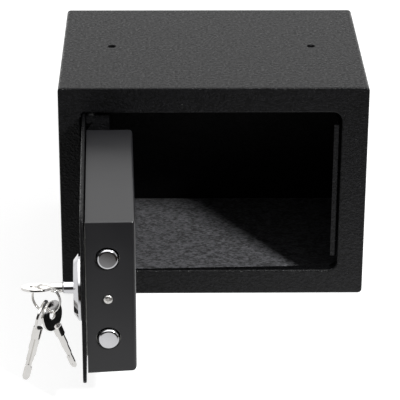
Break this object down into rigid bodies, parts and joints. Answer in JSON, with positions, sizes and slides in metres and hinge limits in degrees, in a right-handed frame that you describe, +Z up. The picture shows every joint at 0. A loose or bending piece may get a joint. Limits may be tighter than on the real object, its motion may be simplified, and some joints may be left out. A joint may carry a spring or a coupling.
{
  "type": "home safe",
  "caption": "Small steel home safe with a key-locked hinged door, round sliding bolts, a felt floor mat and keys on a split ring.",
  "frame": {"origin": "the middle of the cabinet's base, on the surface that it stands on", "axes": "+Z up, -Y out of the front (the door's side), +X towards the lock side with the door shut"},
  "size_m": [0.2505, 0.3477, 0.17],
  "materials": {
    "cabinet_paint": "fine wrinkled black powder coat",
    "door_paint": "smooth satin black powder coat",
    "felt": "mottled grey needled felt",
    "zinc_steel": "zinc-plated steel",
    "black_zinc": "black zinc",
    "chrome": "bright chrome plating",
    "nickel": "bright nickel plating",
    "black_nylon": "moulded nylon"
  },
  "bodies": {
    "cabinet": {"cabinet_wrap": "cabinet_paint", "front_frame": "cabinet_paint", "back_panel": "cabinet_paint", "floor_mat": "felt", "bolt_keeper": "cabinet_paint", "upper_hinge_bracket": "cabinet_paint", "upper_hinge_pin": "zinc_steel", "upper_hinge_washer": "black_nylon", "lower_hinge_bracket": "cabinet_paint", "lower_hinge_pin": "zinc_steel", "lower_hinge_washer": "black_nylon"},
    "door": {"door_plate": "cabinet_paint", "door_cover": "door_paint", "upper_hinge_lug": "cabinet_paint", "lower_hinge_lug": "cabinet_paint", "lock_chassis": "zinc_steel", "cover_bracket": "zinc_steel", "lock_side_screw": "nickel", "hinge_side_screw": "nickel", "lock_rosette": "chrome", "lock_barrel": "zinc_steel", "lock_nut": "zinc_steel"},
    "bolts": {"upper_bolt": "chrome", "lower_bolt": "chrome", "bolt_carriage": "zinc_steel", "upper_bolt_screw": "black_zinc", "lower_bolt_screw": "black_zinc"},
    "key": {"key_in_lock": "nickel", "lock_plug": "chrome", "lock_cam": "zinc_steel", "drive_pin": "zinc_steel", "cam_screw": "zinc_steel"},
    "ring": {"split_ring": "nickel"},
    "left_key": {"left_spare_key": "nickel"},
    "right_key": {"right_spare_key": "nickel"}
  },
  "joints": [
    {"name": "door_hinge", "type": "hinge", "parent": "cabinet", "child": "door", "pos_m": [-0.0911, -0.0785, 0.085], "axis": [0, 0, 1], "range_deg": [-3, 88.4]},
    {"name": "bolt_throw", "type": "slide", "parent": "door", "child": "bolts", "axis": [0.0279, -0.9996, 0], "range_m": [-0.0023, 0.0117]},
    {"name": "key_turn", "type": "hinge", "parent": "door", "child": "key", "pos_m": [-0.125, -0.23871, 0.085], "axis": [-0.9996, -0.0279, 0], "range_deg": [-14.8, 75.3]},
    {"name": "ring_swing", "type": "hinge", "parent": "key", "child": "ring", "pos_m": [-0.12494, -0.23871, 0.085], "axis": [0.9996, 0.0279, 0], "range_deg": [-25, 2]},
    {"name": "left_key_swing", "type": "hinge", "parent": "ring", "child": "left_key", "pos_m": [-0.12026, -0.24035, 0.06801], "axis": [0.9381, -0.264, -0.2241], "range_deg": [-10, 10]},
    {"name": "right_key_swing", "type": "hinge", "parent": "ring", "child": "right_key", "pos_m": [-0.11437, -0.24261, 0.06796], "axis": [0.8469, -0.5188, 0.1167], "range_deg": [-12, 2]}
  ],
  "couplings": [
    {"joint": "key_turn", "follows": "bolt_throw", "rad_per_m": 112.2}
  ]
}
